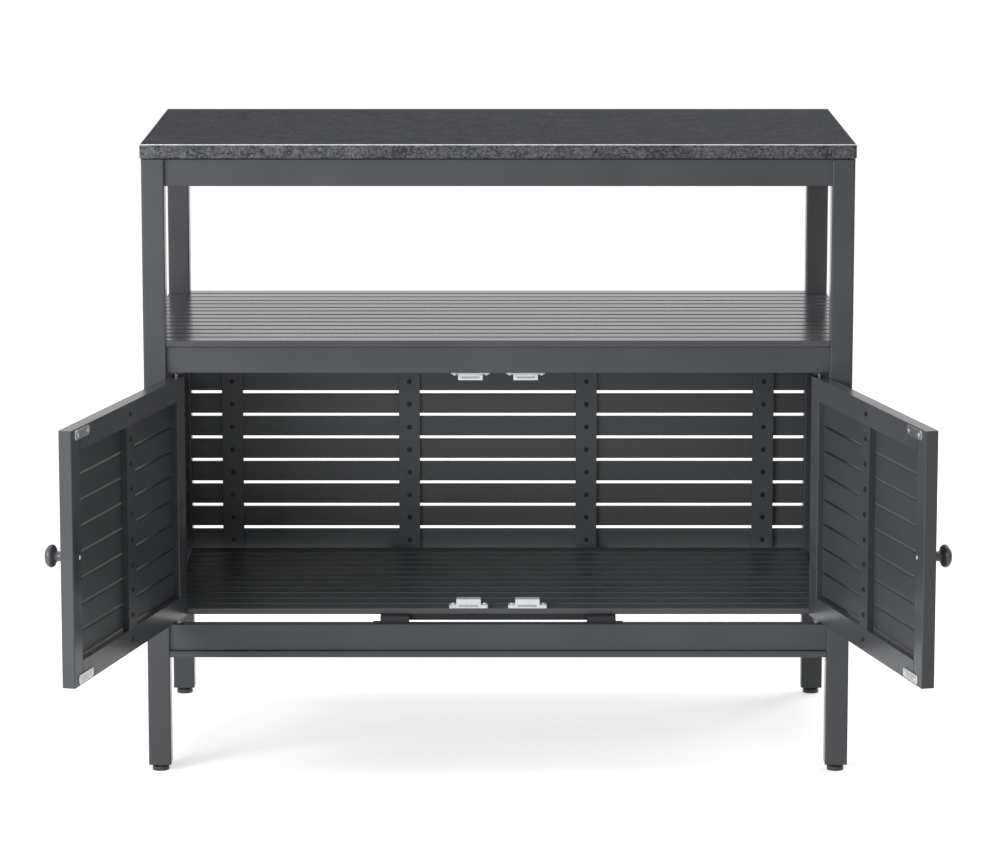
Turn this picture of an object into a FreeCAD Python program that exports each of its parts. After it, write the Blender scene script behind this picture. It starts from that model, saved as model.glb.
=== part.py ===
import FreeCAD, Part
import os
import Sketcher

# Outdoor kitchen cabinet: a powder coated aluminium frame on four levelling feet, with a stone worktop,
# an open bay, a slatted shelf and a closed compartment below it behind two slatted doors on pivot pins.
# Millimetres. X runs to the right, Y to the back and Z up. The origin is on the floor, under the middle
# of the frame. The doors are drawn standing open against the legs.

os.makedirs("parts", exist_ok=True)
doc = FreeCAD.newDocument("outdoor_kitchen_cabinet")

# Driving dimensions
SIZES = [
    ("overall_height", 900),
    ("top_width", 1000),
    ("top_depth", 500),
    ("slab_thickness", 20),
    ("slab_arris", 1.2),
    ("slab_overhang", 1.5),
    ("slab_pad_thickness", 1.5),
    ("slab_pad_diameter", 14),
    ("slab_pad_inset", 66.5),
    ("leg_side", 32),
    ("leg_wall", 2),
    ("leg_corner", 2.5),
    ("leg_cap_thickness", 2),
    ("leg_cap_plug", 15),
    ("plug_clearance", 0.05),
    ("foot_height", 10),
    ("foot_pad_height", 6.5),
    ("foot_diameter", 24),
    ("foot_bevel", 1),
    ("foot_collar_diameter", 15),
    ("foot_collar_clearance", 0.3),
    ("foot_stem_diameter", 8),
    ("foot_stem_length", 40),
    ("foot_insert_height", 20),
    ("running_clearance", 0.05),
    ("rail_height", 38),
    ("rail_depth", 18),
    ("rail_wall", 1.5),
    ("rail_corner", 1.2),
    ("rail_recess", 6),
    ("catch_rail_depth", 38),
    ("base_rail_low", 176),
    ("shelf_rail_low", 576),
    ("slat_width", 30),
    ("slat_thickness", 9),
    ("slat_wall", 1.5),
    ("slat_corner", 1.5),
    ("slat_gap", 5),
    ("slat_end_clearance", 0.5),
    ("slat_cap_thickness", 1.5),
    ("slat_plug", 12),
    ("shelf_slat_count", 14),
    ("back_slat_low", 226),
    ("back_slat_count", 10),
    ("floor_slat_count", 12),
    ("floor_clearance", 0.6),
    ("floor_rear_gap", 11.5),
    ("batten_width", 32),
    ("batten_thickness", 9),
    ("back_batten_count", 4),
    ("back_batten_inset", 62.25),
    ("side_batten_inset", 76.5),
    ("bearer_width", 41),
    ("bearer_thickness", 9.5),
    ("bearer_inset", 319.5),
    ("bearer_lug", 10),
    ("bearer_lug_length", 8),
    ("bearer_lug_thickness", 1.5),
    ("strip_thickness", 9),
    ("strip_setback", 4),
    ("screw_diameter", 3.5),
    ("screw_head_diameter", 7),
    ("screw_head_height", 2),
    ("door_swing_clearance", 0.2),
    ("door_centre_gap", 3),
    ("door_low_gap", 10.5),
    ("door_top_gap", 6.5),
    ("door_thickness", 18),
    ("door_wall", 1.5),
    ("door_corner", 1.5),
    ("stile_width", 32),
    ("door_rail_height", 31.5),
    ("door_slat_count", 8),
    ("door_slat_width", 32),
    ("door_slat_gap", 3),
    ("door_cap_thickness", 2),
    ("door_cap_plug", 16),
    ("open_angle", 104.5),
    ("pivot_inset", 10),
    ("pin_diameter", 6),
    ("pin_reach", 17),
    ("pin_shoulder_diameter", 11),
    ("bush_diameter", 10),
    ("bush_flange_diameter", 14),
    ("bush_flange_thickness", 1.5),
    ("bush_depth", 9),
    ("knob_diameter", 31),
    ("knob_projection", 28),
    ("knob_crown", 13),
    ("knob_round", 3),
    ("knob_stem_diameter", 13),
    ("knob_base_diameter", 19),
    ("knob_base_thickness", 3),
    ("knob_inset", 23),
    ("knob_screw_diameter", 4),
    ("knob_screw_grip", 12),
    ("strike_length", 54),
    ("strike_height", 13),
    ("strike_thickness", 1.5),
    ("strike_corner", 5),
    ("strike_inset", 41),
    ("strike_edge", 2),
    ("strike_hole_diameter", 6),
    ("strike_hole_pitch", 38),
    ("catch_body_width", 35),
    ("catch_ear_span", 55),
    ("catch_ear_thickness", 5),
    ("catch_height", 13.5),
    ("catch_depth", 15),
    ("catch_strike_gap", 0.4),
    ("catch_top_offset", 39),
    ("catch_low_offset", 42),
    ("catch_screw_pitch", 45),
    ("magnet_width", 26),
    ("magnet_height", 2.4),
    ("magnet_depth", 9),
    ("magnet_margin", 2.6),
]
sheet = doc.addObject("Spreadsheet::Sheet", "size")
for row, (alias, number) in enumerate(SIZES, start=1):
    sheet.set("A%d" % row, alias)
    sheet.set("B%d" % row, str(number))
    sheet.setAlias("B%d" % row, alias)
doc.recompute()

# Places worked out from the driving dimensions
frame_width = "(size.top_width - 2 * size.slab_overhang)"
frame_depth = "(size.top_depth - 2 * size.slab_overhang)"
frame_top = "(size.overall_height - size.slab_thickness - size.slab_pad_thickness)"
left_face = f"(-{frame_width} / 2)"
right_face = f"({frame_width} / 2)"
front_face = f"(-{frame_depth} / 2)"
rear_face = f"({frame_depth} / 2)"
clear_width = f"({frame_width} - 2 * size.leg_side)"
clear_depth = f"({frame_depth} - 2 * size.leg_side)"
clear_left = f"(-{clear_width} / 2)"
clear_front = f"(-{clear_depth} / 2)"
rail_front = f"({front_face} + size.rail_recess)"
rail_rear = f"({rear_face} - size.rail_recess - size.rail_depth)"
rail_left = f"({left_face} + size.rail_recess)"
rail_right = f"({right_face} - size.rail_recess - size.rail_depth)"
top_rail_low = f"({frame_top} - size.rail_height)"
base_rail_top = "(size.base_rail_low + size.rail_height)"
shelf_rail_top = "(size.shelf_rail_low + size.rail_height)"
slat_pitch = "(size.slat_width + size.slat_gap)"
floor_low = f"({base_rail_top} + size.bearer_thickness)"
floor_top = f"({floor_low} + size.slat_thickness)"
half_door = "(size.door_thickness / 2)"
pivot_y = f"({rail_front} + {half_door})"
corner_reach = f"sqrt((size.pivot_inset - size.door_corner) ^ 2 + ({half_door} - size.door_corner) ^ 2)"
hinge_sweep = f"({corner_reach} + size.door_corner)"
floor_front = f"({pivot_y} + {hinge_sweep} + size.floor_clearance)"


def number_of(formula):
    """The value of a formula at the present sizes."""
    return float(sheet.evalExpression(formula))


def sketch_in(body, plane, offset="0"):
    """A sketch on one of the body's own origin planes, moved along the plane's normal."""
    sketch = body.newObject("Sketcher::SketchObject", "outline")
    support = next(item for item in body.Origin.OriginFeatures if item.Role == plane)
    sketch.AttachmentSupport = [(support, "")]
    sketch.MapMode = "FlatFace"
    sketch.setExpression("AttachmentOffset.Base.z", offset)
    return sketch


def bind_point(sketch, edge, end, point):
    """Ties one point of a sketch to its two formulas."""
    for kind, formula in zip(("DistanceX", "DistanceY"), point):
        rule = sketch.addConstraint(Sketcher.Constraint(kind, -1, 1, edge, end, number_of(formula)))
        name = "%s_%d_%d" % (kind, edge, end)
        sketch.renameConstraint(rule, name)
        sketch.setExpression("Constraints." + name, formula)


def draw_polygon(sketch, points):
    """A closed outline through points that are pairs of formulas."""
    first = sketch.GeometryCount
    count = len(points)
    places = [FreeCAD.Vector(number_of(x), number_of(y), 0) for x, y in points]
    for step in range(count):
        sketch.addGeometry(Part.LineSegment(places[step], places[(step + 1) % count]))
    for step in range(count):
        following = first + (step + 1) % count
        sketch.addConstraint(Sketcher.Constraint("Coincident", first + step, 2, following, 1))
        bind_point(sketch, first + step, 1, points[step])


def draw_rectangle(sketch, low, sides):
    """A rectangle from its low corner and its two sides."""
    (x, y), (across, up) = low, sides
    far_x, far_y = f"{x} + {across}", f"{y} + {up}"
    draw_polygon(sketch, [(x, y), (far_x, y), (far_x, far_y), (x, far_y)])


def draw_circle(sketch, centre, diameter):
    """A circle from its centre and its diameter."""
    edge = sketch.GeometryCount
    middle = FreeCAD.Vector(number_of(centre[0]), number_of(centre[1]), 0)
    sketch.addGeometry(Part.Circle(middle, FreeCAD.Vector(0, 0, 1), number_of(diameter) / 2))
    bind_point(sketch, edge, 3, centre)
    rule = sketch.addConstraint(Sketcher.Constraint("Diameter", edge, number_of(diameter)))
    sketch.renameConstraint(rule, "diameter_%d" % edge)
    sketch.setExpression("Constraints.diameter_%d" % edge, diameter)


def pad(body, sketch, length, reverse=False):
    """Material pulled out of a sketch."""
    feature = body.newObject("PartDesign::Pad", "pad")
    feature.Profile = sketch
    feature.Reversed = reverse
    feature.setExpression("Length", length)
    doc.recompute()
    return feature


def pocket(body, sketch, depth, reverse=False):
    """Material cut away from a sketch: against its normal, or along it when reversed."""
    before = body.Shape.Volume
    feature = body.newObject("PartDesign::Pocket", "pocket")
    feature.Profile = sketch
    feature.Reversed = reverse
    feature.setExpression("Length", depth)
    doc.recompute()
    if body.Shape.Volume >= before:
        raise ValueError("a cut in %s removes nothing" % body.Label)
    return feature


def new_body(label):
    """An empty sub-part with its own name."""
    body = doc.addObject("PartDesign::Body", label)
    body.Label = label
    return body


def place(body, at, turn="0"):
    """Puts a sub-part at a point, turned about the upright axis."""
    spot = "vector(%s; %s; %s)" % at
    body.setExpression("Placement", f"placement({spot}; rotation(vector(0; 0; 1); {turn}))")


def block(body, low, sides):
    """A box of material, from its low corner and its three sides."""
    sketch = sketch_in(body, "XY_Plane", low[2])
    draw_rectangle(sketch, low[:2], sides[:2])
    return pad(body, sketch, sides[2])


def cut_block(body, low, sides):
    """A box cut out of a sub-part."""
    sketch = sketch_in(body, "XY_Plane", low[2])
    draw_rectangle(sketch, low[:2], sides[:2])
    return pocket(body, sketch, sides[2], reverse=True)


def drill_up(body, centres, low, diameter, depth):
    """Round holes that run upwards from a level."""
    sketch = sketch_in(body, "XY_Plane", low)
    for centre in centres:
        draw_circle(sketch, centre, diameter)
    return pocket(body, sketch, depth, reverse=True)


def round_edges(body, base, radius, wanted):
    """Rounds the edges that a test picks."""
    names = ["Edge%d" % count for count, edge in enumerate(base.Shape.Edges, start=1) if wanted(edge)]
    feature = body.newObject("PartDesign::Fillet", "rounding")
    feature.Base = (base, names)
    feature.setExpression("Radius", radius)
    doc.recompute()
    return feature


def repeat(body, axis, count, pitch, axis2=None, count2="1", pitch2="0"):
    """Copies the whole sub-part along one axis, or along two."""
    def origin_axis(name):
        return next(item for item in body.Origin.OriginFeatures if item.Role == name + "_Axis")

    feature = body.newObject("PartDesign::LinearPattern", "rows")
    feature.TransformMode = "Whole shape"
    feature.Direction = (origin_axis(axis), [""])
    feature.setExpression("Occurrences", count)
    feature.setExpression("Length", f"{pitch} * ({count} - 1)")
    if axis2:
        feature.Direction2 = (origin_axis(axis2), [""])
        feature.setExpression("Occurrences2", count2)
        feature.setExpression("Length2", f"{pitch2} * ({count2} - 1)")
    body.Tip = feature
    doc.recompute()
    return feature


def on_the_outside(base):
    """A test for the edges along a bar that lie on the outside of it, at the meeting of two of its faces."""
    box = base.Shape.BoundBox
    limits = ((box.XMin, box.XMax), (box.YMin, box.YMax), (box.ZMin, box.ZMax))

    def wanted(edge):
        middle = edge.valueAt((edge.FirstParameter + edge.LastParameter) / 2)
        near = [min(abs(value - end) for end in ends) < EDGE_TOLERANCE for value, ends in zip(middle, limits)]
        return sum(near) == 2 and edge.Length > LONG_SHARE * max(box.XLength, box.YLength, box.ZLength)

    return wanted


EDGE_TOLERANCE = 1e-6
LONG_SHARE = 0.9
UPRIGHT = 0.99
PLANES = {"X": "YZ_Plane", "Y": "XZ_Plane", "Z": "XY_Plane"}


def bar(label, axis, section, length, at, wall=None, corner=None, turn="0"):
    """An extruded bar along an axis, hollow if it has a wall, with rounded long edges."""
    body = new_body(label)
    sketch = sketch_in(body, PLANES[axis])
    draw_rectangle(sketch, ("0", "0"), section)
    if wall:
        inner = [f"{side} - 2 * {wall}" for side in section]
        draw_rectangle(sketch, (wall, wall), inner)
    base = pad(body, sketch, length, reverse=(axis == "Y"))
    if corner:
        round_edges(body, base, corner, on_the_outside(base))
    place(body, at, turn)
    return body


def lathe(body, points):
    """A turned piece about the upright axis, from a profile of radius and height."""
    sketch = sketch_in(body, "XZ_Plane")
    draw_polygon(sketch, points)
    feature = body.newObject("PartDesign::Revolution", "turning")
    feature.Profile = sketch
    feature.ReferenceAxis = (sketch, ["V_Axis"])
    feature.Angle = 360
    doc.recompute()
    return feature


# Worktop: a stone slab with a small arris along its edges
slab = new_body("worktop_slab")
slab_block = block(slab, ("0", "0", "0"), ("size.top_width", "size.top_depth", "size.slab_thickness"))
arris = slab.newObject("PartDesign::Chamfer", "arris")
arris.Base = (slab_block, ["Edge%d" % (count + 1) for count in range(len(slab_block.Shape.Edges))])
arris.setExpression("Size", "size.slab_arris")
place(slab, ("-size.top_width / 2", "-size.top_depth / 2", "size.overall_height - size.slab_thickness"))

# Rubber pads that the slab lies on, in rows on the front and the rear top rail
pads = new_body("slab_pads")
pad_sketch = sketch_in(pads, "XY_Plane")
draw_circle(pad_sketch, ("0", "0"), "size.slab_pad_diameter")
pad(pads, pad_sketch, "size.slab_pad_thickness")
slab_pad_pitch = f"({clear_width} / 2 - size.slab_pad_inset)"
repeat(pads, "X", "3", slab_pad_pitch, "Y", "2", f"({rail_rear} - {rail_front})")
place(pads, (f"-{slab_pad_pitch}", f"{rail_front} + size.rail_depth / 2", frame_top))

# Legs: square tubes, each with a cap in its top and a threaded insert in its foot
leg_section = ("size.leg_side", "size.leg_side")
leg_length = f"({frame_top} - size.leg_cap_thickness - size.foot_height)"
far_left = left_face
far_right = f"({right_face} - size.leg_side)"
far_front = front_face
far_rear = f"({rear_face} - size.leg_side)"
for label, x, y in (
    ("leg_front_left", far_left, far_front),
    ("leg_front_right", far_right, far_front),
    ("leg_rear_left", far_left, far_rear),
    ("leg_rear_right", far_right, far_rear),
):
    bar(label, "Z", leg_section, leg_length, (x, y, "size.foot_height"), "size.leg_wall", "size.leg_corner")

leg_bore = "(size.leg_side - 2 * size.leg_wall - 2 * size.plug_clearance)"
leg_bore_low = "(size.leg_wall + size.plug_clearance)"
leg_step_x = f"({frame_width} - size.leg_side)"
leg_step_y = f"({frame_depth} - size.leg_side)"

caps = new_body("leg_caps")
block(caps, (leg_bore_low, leg_bore_low, "0"), (leg_bore, leg_bore, "size.leg_cap_plug"))
block(caps, ("0", "0", "size.leg_cap_plug"), leg_section + ("size.leg_cap_thickness",))
repeat(caps, "X", "2", leg_step_x, "Y", "2", leg_step_y)
place(caps, (left_face, front_face, f"{frame_top} - size.leg_cap_thickness - size.leg_cap_plug"))

inserts = new_body("foot_inserts")
block(inserts, (leg_bore_low, leg_bore_low, "0"), (leg_bore, leg_bore, "size.foot_insert_height"))
leg_middle = ("size.leg_side / 2", "size.leg_side / 2")
stem_bore = "size.foot_stem_diameter + 2 * size.running_clearance"
drill_up(inserts, [leg_middle], "0", stem_bore, "size.foot_insert_height")
repeat(inserts, "X", "2", leg_step_x, "Y", "2", leg_step_y)
place(inserts, (left_face, front_face, "size.foot_height"))

# Levelling feet: a bevelled pad, a collar and the stem that screws into the insert
foot_radius = "size.foot_diameter / 2"
collar_top = "size.foot_height - size.foot_collar_clearance"
FOOT_PROFILE = [
    ("0", "0"),
    (foot_radius, "0"),
    (foot_radius, "size.foot_pad_height - size.foot_bevel"),
    (f"{foot_radius} - size.foot_bevel", "size.foot_pad_height"),
    ("size.foot_collar_diameter / 2", "size.foot_pad_height"),
    ("size.foot_collar_diameter / 2", collar_top),
    ("size.foot_stem_diameter / 2", collar_top),
    ("size.foot_stem_diameter / 2", "size.foot_stem_length"),
    ("0", "size.foot_stem_length"),
]
for label, x, y in (
    ("foot_front_left", far_left, far_front),
    ("foot_front_right", far_right, far_front),
    ("foot_rear_left", far_left, far_rear),
    ("foot_rear_right", far_right, far_rear),
):
    foot = new_body(label)
    lathe(foot, FOOT_PROFILE)
    place(foot, (f"{x} + size.leg_side / 2", f"{y} + size.leg_side / 2", "0"))

# Pivot places: the door turns on pins near its hinge edge, at the middle of its thickness
pivot_from_leg = f"({hinge_sweep} + size.door_swing_clearance)"
pivot_left = f"({clear_left} + {pivot_from_leg})"
bush_centres = [
    (pivot_from_leg, half_door),
    (f"{clear_width} - {pivot_from_leg}", half_door),
]

# Rails: tubes between the legs, set back a little from the legs' faces
rail_section = ("size.rail_depth", "size.rail_height")
for level, low in (
    ("top", top_rail_low),
    ("shelf", "size.shelf_rail_low"),
    ("base", "size.base_rail_low"),
):
    front_depth = "size.catch_rail_depth" if level == "shelf" else "size.rail_depth"
    front = bar(f"{level}_rail_front", "X", (front_depth, "size.rail_height"), clear_width,
                (clear_left, rail_front, low), "size.rail_wall", "size.rail_corner")
    bar(f"{level}_rail_rear", "X", rail_section, clear_width,
        (clear_left, rail_rear, low), "size.rail_wall", "size.rail_corner")
    sides = bar(f"{level}_side_rails", "Y", rail_section, clear_depth,
                (rail_left, clear_front, low), "size.rail_wall", "size.rail_corner")
    repeat(sides, "X", "2", f"({rail_right} - {rail_left})")
    if level == "shelf":
        drill_up(front, bush_centres, "0", "size.bush_diameter", "2 * size.rail_wall")
    if level == "base":
        drill_up(front, bush_centres, "size.rail_height - 2 * size.rail_wall", "size.bush_diameter",
                 "3 * size.rail_wall")

# Bushes for the door pins, flanged, in the underside of the shelf rail and the top of the base rail
bush_bore = "size.pin_diameter + 2 * size.running_clearance"
bushes = new_body("pivot_bushes")
bush_step = f"({clear_width} - 2 * {pivot_from_leg})"
opening_height = f"(size.shelf_rail_low - {base_rail_top})"
for flange_low, barrel_low in (
    ("0", "-size.bush_depth"),
    (f"{opening_height} - size.bush_flange_thickness", opening_height),
):
    flange = sketch_in(bushes, "XY_Plane", flange_low)
    draw_circle(flange, ("0", "0"), "size.bush_flange_diameter")
    draw_circle(flange, ("0", "0"), bush_bore)
    pad(bushes, flange, "size.bush_flange_thickness")
    barrel = sketch_in(bushes, "XY_Plane", barrel_low)
    draw_circle(barrel, ("0", "0"), "size.bush_diameter")
    draw_circle(barrel, ("0", "0"), bush_bore)
    pad(bushes, barrel, "size.bush_depth")
repeat(bushes, "X", "2", bush_step)
place(bushes, (pivot_left, pivot_y, base_rail_top))

# Trim: one slat laid flat under the front base rail, flush with the legs
slat_section = ("size.slat_width", "size.slat_thickness")
bar("base_trim", "X", slat_section, clear_width,
    (clear_left, front_face, "size.base_rail_low - size.slat_thickness"),
    "size.slat_wall", "size.slat_corner")

# Shelf: slats over the full depth of the frame, on battens between the front and the rear rail. The inner
# slats lie across the side rails as far as the legs' outer faces, and plugs close their ends.
shelf_pitch = f"(({frame_depth} - size.slat_width) / (size.shelf_slat_count - 1))"
edge_slats = bar("shelf_edge_slats", "X", slat_section, clear_width,
                 (clear_left, front_face, shelf_rail_top), "size.slat_wall", "size.slat_corner")
repeat(edge_slats, "Y", "2", f"({frame_depth} - size.slat_width)")
slat_end = f"({left_face} + size.slat_cap_thickness)"
inner_slats_at = (f"{front_face} + {shelf_pitch}", shelf_rail_top)
shelf_slats = bar("shelf_slats", "X", slat_section, f"(-2 * {slat_end})", (slat_end,) + inner_slats_at,
                  "size.slat_wall", "size.slat_corner")
repeat(shelf_slats, "Y", "size.shelf_slat_count - 2", shelf_pitch)

slat_plugs = new_body("shelf_slat_plugs")
slat_bore_low = "(size.slat_wall + size.plug_clearance)"
slat_bore = tuple(f"({side} - 2 * {slat_bore_low})" for side in slat_section)
for cap_x, plug_x in ((left_face, slat_end), (f"(-{slat_end})", f"(-{slat_end} - size.slat_plug)")):
    block(slat_plugs, (cap_x, "0", "0"), ("size.slat_cap_thickness",) + slat_section)
    block(slat_plugs, (plug_x, slat_bore_low, slat_bore_low), ("size.slat_plug",) + slat_bore)
repeat(slat_plugs, "Y", "size.shelf_slat_count - 2", shelf_pitch)
place(slat_plugs, ("0",) + inner_slats_at)

batten_pitch = f"(({clear_width} - 2 * size.back_batten_inset) / (size.back_batten_count - 1))"
batten_low_x = f"({clear_left} + size.back_batten_inset - size.batten_width / 2)"
shelf_battens = bar("shelf_battens", "Y", ("size.batten_width", "size.batten_thickness"),
                    f"({rail_rear} - {rail_front} - size.catch_rail_depth)",
                    (batten_low_x, f"{rail_front} + size.catch_rail_depth",
                     f"{shelf_rail_top} - size.batten_thickness"))
repeat(shelf_battens, "X", "size.back_batten_count", batten_pitch)

# Back: slats between the rear legs, screwed to upright battens inside
back_slat_y = f"({rear_face} - size.rail_recess - size.slat_thickness)"
upright_section = ("size.slat_thickness", "size.slat_width")
back_slats = bar("back_slats", "X", upright_section, clear_width,
                 (clear_left, back_slat_y, "size.back_slat_low"), "size.slat_wall", "size.slat_corner")
repeat(back_slats, "Z", "size.back_slat_count", slat_pitch)

batten_y = f"({back_slat_y} - size.batten_thickness)"
back_batten_length = f"(size.shelf_rail_low - {floor_low})"
slat_levels = [f"(size.back_slat_low + size.slat_width / 2 + {step} * {slat_pitch})"
               for step in range(int(number_of("size.back_slat_count")))]
back_battens = bar("back_battens", "Z", ("size.batten_width", "size.batten_thickness"), back_batten_length,
                   (batten_low_x, batten_y, floor_low))
back_holes = sketch_in(back_battens, "XZ_Plane")
for level in slat_levels:
    draw_circle(back_holes, ("size.batten_width / 2", f"{level} - {floor_low}"), "size.screw_diameter")
pocket(back_battens, back_holes, "size.batten_thickness")
repeat(back_battens, "X", "size.back_batten_count", batten_pitch)

back_screws = new_body("back_screws")
for diameter, length, into_batten in (
    ("size.screw_diameter", "size.batten_thickness", True),
    ("size.screw_head_diameter", "size.screw_head_height", False),
):
    outline = sketch_in(back_screws, "XZ_Plane")
    draw_circle(outline, ("0", "0"), diameter)
    pad(back_screws, outline, length, reverse=into_batten)
repeat(back_screws, "X", "size.back_batten_count", batten_pitch,
       "Z", "size.back_slat_count", slat_pitch)
place(back_screws, (f"{batten_low_x} + size.batten_width / 2", batten_y, slat_levels[0]))

# Sides: slats between the front and the rear legs on the same levels, on two battens each
side_slats = bar("side_slats", "Y", upright_section, clear_depth,
                 (rail_left, clear_front, "size.back_slat_low"), "size.slat_wall", "size.slat_corner")
side_slat_step = f"({frame_width} - 2 * size.rail_recess - size.slat_thickness)"
repeat(side_slats, "Z", "size.back_slat_count", slat_pitch, "X", "2", side_slat_step)

side_batten_pitch = f"({clear_depth} - 2 * size.side_batten_inset)"
side_batten_x = f"({rail_left} + size.slat_thickness)"
side_batten_step = f"(-2 * {side_batten_x} - size.batten_thickness)"
side_battens = bar("side_battens", "Z", ("size.batten_thickness", "size.batten_width"), opening_height,
                   (side_batten_x, f"-({side_batten_pitch} + size.batten_width) / 2", base_rail_top))
side_holes = sketch_in(side_battens, "YZ_Plane", "size.batten_thickness")
for level in slat_levels:
    draw_circle(side_holes, ("size.batten_width / 2", f"{level} - {base_rail_top}"), "size.screw_diameter")
pocket(side_battens, side_holes, "size.batten_thickness")
repeat(side_battens, "X", "2", side_batten_step, "Y", "2", side_batten_pitch)

side_screws = new_body("side_screws")
side_inside = f"({side_batten_x} + size.batten_thickness)"
for face, outwards in ((side_inside, False), (f"(-{side_inside})", True)):
    for diameter, length, into_batten in (
        ("size.screw_diameter", "size.batten_thickness", True),
        ("size.screw_head_diameter", "size.screw_head_height", False),
    ):
        outline = sketch_in(side_screws, "YZ_Plane", face)
        draw_circle(outline, ("0", "0"), diameter)
        pad(side_screws, outline, length, reverse=(into_batten != outwards))
repeat(side_screws, "Y", "2", side_batten_pitch, "Z", "size.back_slat_count", slat_pitch)
place(side_screws, ("0", f"-{side_batten_pitch} / 2", slat_levels[0]))

# Floor of the closed compartment: slats on two lugged bearers on the base rails, and a strip between them
floor_left = f"({clear_left} + size.slat_end_clearance)"
floor_slats = bar("floor_slats", "X", slat_section, f"(-2 * {floor_left})",
                  (floor_left, floor_front, floor_low), "size.slat_wall", "size.slat_corner")
floor_rear = f"({rear_face} - size.leg_side - size.floor_rear_gap)"
floor_pitch = f"(({floor_rear} - {floor_front} - size.slat_width) / (size.floor_slat_count - 1))"
repeat(floor_slats, "Y", "size.floor_slat_count", floor_pitch)

bearer_seat = "size.rail_depth / 2"
bearer_pitch = f"({clear_width} - 2 * size.bearer_inset)"
bearer_length = f"({rail_rear} - {rail_front})"
bearers = new_body("floor_bearers")
for bearer_x, lug_x in (("0", "(-size.bearer_lug)"), (bearer_pitch, bearer_pitch)):
    block(bearers, (bearer_x, "0", "0"), ("size.bearer_width", bearer_length, "size.bearer_thickness"))
    for lug_y in ("0", f"{bearer_length} - size.bearer_lug_length"):
        block(bearers, (lug_x, lug_y, "0"),
              ("size.bearer_width + size.bearer_lug", "size.bearer_lug_length", "size.bearer_lug_thickness"))
place(bearers, (f"-({bearer_pitch} + size.bearer_width) / 2", f"{rail_front} + {bearer_seat}", base_rail_top))
bar("floor_cross_strip", "X", ("size.slat_width", "size.strip_thickness"),
    f"({bearer_pitch} - size.bearer_width)",
    (f"-({bearer_pitch} - size.bearer_width) / 2", f"{floor_front} + size.strip_setback",
     f"{floor_low} - size.strip_thickness"))

# Magnetic catches: eared plastic housings with a magnet in the front, under the shelf rail and on the floor
catch_front = f"({rail_front} + size.door_thickness + size.strike_thickness + size.catch_strike_gap)"
housings = new_body("catch_housings")
magnets = new_body("catch_magnets")
catch_screws = new_body("catch_screws")
CATCHES = []
for offset, seat, hangs in (
    ("size.catch_top_offset", "size.shelf_rail_low", True),
    ("size.catch_low_offset", floor_top, False),
):
    body_low = f"({seat} - size.catch_height)" if hangs else seat
    ear_low = f"({seat} - size.catch_ear_thickness)" if hangs else seat
    for side in ("-", ""):
        CATCHES.append((f"({side}{offset})", body_low, ear_low, hangs))
for middle, body_low, ear_low, hangs in CATCHES:
    block(housings, (f"{middle} - size.catch_ear_span / 2", catch_front, ear_low),
          ("size.catch_ear_span", "size.catch_depth", "size.catch_ear_thickness"))
    block(housings, (f"{middle} - size.catch_body_width / 2", catch_front, body_low),
          ("size.catch_body_width", "size.catch_depth", "size.catch_height"))
for middle, body_low, ear_low, hangs in CATCHES:
    magnet_low = (f"{middle} - size.magnet_width / 2", catch_front, f"{body_low} + size.magnet_margin")
    magnet_sides = ("size.magnet_width", "size.magnet_depth", "size.magnet_height")
    cut_block(housings, magnet_low, magnet_sides)
    block(magnets, magnet_low, magnet_sides)
    screw_y = f"{catch_front} + size.catch_depth / 2"
    spots = [(f"{middle} {sign} size.catch_screw_pitch / 2", screw_y) for sign in ("-", "+")]
    drill_up(housings, spots, ear_low, "size.screw_diameter", "size.catch_ear_thickness")
    head_level = ear_low if hangs else f"{ear_low} + size.catch_ear_thickness"
    for diameter, low, length, reverse in (
        ("size.screw_diameter", ear_low, "size.catch_ear_thickness", False),
        ("size.screw_head_diameter", head_level, "size.screw_head_height", hangs),
    ):
        outline = sketch_in(catch_screws, "XY_Plane", low)
        for spot in spots:
            draw_circle(outline, spot, diameter)
        pad(catch_screws, outline, length, reverse)

# Doors: each hangs on pins by its hinge edge. A door is drawn from its pivot, with its own X towards the
# meeting edge, and the right door's own axes are turned half round, so its outer face is on the other side.
door_side_gap = f"({pivot_from_leg} - size.pivot_inset)"
door_width = f"(({clear_width} - 2 * {door_side_gap} - size.door_centre_gap) / 2)"
door_low = f"({base_rail_top} + size.door_low_gap)"
door_top = "(size.shelf_rail_low - size.door_top_gap)"
door_height = f"({door_top} - {door_low})"
hinge_edge = "(-size.pivot_inset)"
meeting_edge = f"({door_width} - size.pivot_inset)"
meeting_stile_x = f"({meeting_edge} - size.stile_width)"
panel_x = f"({hinge_edge} + size.stile_width)"
panel_width = f"({door_width} - 2 * size.stile_width)"
panel_low = f"({door_low} + size.door_rail_height)"
panel_height = f"({door_height} - 2 * size.door_rail_height)"
door_slat_pitch = "(size.door_slat_width + size.door_slat_gap)"
slat_stack = f"(size.door_slat_count * {door_slat_pitch} - size.door_slat_gap)"
door_slat_low = f"({panel_low} + ({panel_height} - {slat_stack}) / 2)"
mid_stile_thickness = "(size.door_thickness - size.slat_thickness)"
mid_stile_x = f"({hinge_edge} + ({door_width} - size.batten_width) / 2)"
door_slat_levels = [f"({door_slat_low} + size.door_slat_width / 2 + {step} * {door_slat_pitch})"
                    for step in range(int(number_of("size.door_slat_count")))]
knob_x = f"({meeting_edge} - size.knob_inset)"
knob_level = f"({door_low} + {door_height} / 2)"
strike_low_x = f"({meeting_edge} - size.strike_inset - size.strike_length / 2)"
knob_radius = "size.knob_diameter / 2"


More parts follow.
